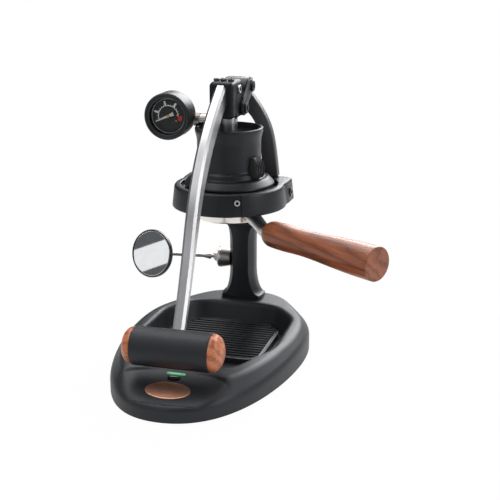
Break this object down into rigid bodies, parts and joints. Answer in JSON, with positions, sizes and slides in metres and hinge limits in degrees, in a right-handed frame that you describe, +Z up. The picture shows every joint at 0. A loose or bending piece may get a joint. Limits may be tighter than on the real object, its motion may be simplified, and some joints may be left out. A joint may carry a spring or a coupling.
{
  "type": "manual lever espresso maker",
  "caption": "Black manual lever espresso maker with curved steel lever, pressure gauge, walnut-handled portafilter, shot mirror and drip tray.",
  "frame": {"origin": "on the table, under the brew axis, at the bottom of the feet", "axes": "+Z up along the brew axis, -Y to the front where the nose and the grip are, +X to the right seen from the front"},
  "size_m": [0.3265, 0.337, 0.3066],
  "materials": {
    "black_coat": "matte fine-textured powder coat",
    "satin_aluminium": "satin, brushed lengthwise",
    "bright_chrome": "polished",
    "bright_steel": "satin turned",
    "dark_screws": "black oxide",
    "walnut": "oiled",
    "black_leather": "fine grain",
    "copper": "brushed copper",
    "green_lens": "lit from behind",
    "black_plastic": "fine matte",
    "gauge_black": "semi-gloss",
    "dial_face": "printed scale",
    "needle_white": "painted",
    "clear_glass": "clear",
    "mirror_face": "silvered",
    "black_rubber": "matte",
    "board_green": "solder mask"
  },
  "bodies": {
    "frame": {"base_shell": "black_coat", "floor_plate": "black_coat", "rubber_feet": "black_rubber", "front_badge": "copper", "status_light": "green_lens", "control_board": "board_green", "power_inlet": "black_plastic", "post": "black_coat", "post_bolts": "bright_steel", "group_ring": "black_coat", "side_bolts": "bright_steel", "front_screw": "bright_steel", "arch": "black_coat", "brew_chamber": "black_coat", "chamber_gasket": "black_rubber", "shower_screen": "bright_steel", "heater_plug": "black_plastic", "mirror_mount": "bright_chrome"},
    "tray": {"drip_tray": "black_plastic", "drip_grille": "black_coat"},
    "button": {"power_button": "black_plastic"},
    "lever": {"fulcrum_link_right": "black_coat", "fulcrum_link_left": "black_coat", "fulcrum_pin": "bright_steel", "stem_pin": "bright_steel", "lever_head": "black_coat", "cross_bolts": "bright_steel", "top_screws": "dark_screws", "lever_arm": "satin_aluminium", "grip_sleeve": "black_leather", "grip_rod": "bright_steel", "grip_cap_left": "walnut", "grip_cap_right": "walnut"},
    "plunger": {"piston": "bright_steel", "piston_seals": "black_rubber", "plunger_stem": "bright_steel", "gauge_tube": "bright_chrome", "gauge_case": "gauge_black", "gauge_dial": "dial_face", "gauge_lens": "clear_glass", "gauge_bezel": "gauge_black"},
    "needle": {"gauge_needle": "needle_white"},
    "portafilter": {"portafilter_body": "bright_chrome", "filter_basket": "bright_steel", "portafilter_handle": "walnut"},
    "mirror_arm": {"mirror_rod": "bright_chrome"},
    "mirror": {"mirror_frame": "bright_chrome", "mirror_glass": "mirror_face"}
  },
  "joints": [
    {"name": "lever_pivot", "type": "hinge", "parent": "frame", "child": "lever", "pos_m": [0, 0.031, 0.293], "axis": [-1, 0, 0], "range_deg": [0, 70]},
    {"name": "plunger_slide", "type": "slide", "parent": "frame", "child": "plunger", "axis": [0, 0, 1], "range_m": [0, 0.0405]},
    {"name": "needle_turn", "type": "hinge", "parent": "plunger", "child": "needle", "pos_m": [-0.063, -0.0373, 0.264], "axis": [0, 1, 0], "range_deg": [0, 228]},
    {"name": "tray_lift", "type": "slide", "parent": "frame", "child": "tray", "axis": [0, 0, 1], "range_m": [0, 0.03]},
    {"name": "button_press", "type": "slide", "parent": "frame", "child": "button", "axis": [0, 0.3007, -0.9537], "range_m": [0, 0.0008], "stiffness_N_per_m": 800},
    {"name": "bayonet_turn", "type": "hinge", "parent": "frame", "child": "portafilter", "pos_m": [0, 0, 0.16], "axis": [0, 0, 1], "range_deg": [-42, 0]},
    {"name": "mirror_arm_swing", "type": "hinge", "parent": "frame", "child": "mirror_arm", "pos_m": [-0.0345, 0.057, 0.0815], "axis": [0, 0, 1], "range_deg": [-20, 20]},
    {"name": "mirror_tilt", "type": "hinge", "parent": "mirror_arm", "child": "mirror", "pos_m": [-0.09886, 0.02907, 0.08791], "axis": [0.9575, -0.2883, 0], "range_deg": [-15, 15]}
  ],
  "couplings": [
    {"joint": "plunger_slide", "follows": "lever_pivot", "m_per_rad": 0.0328}
  ]
}
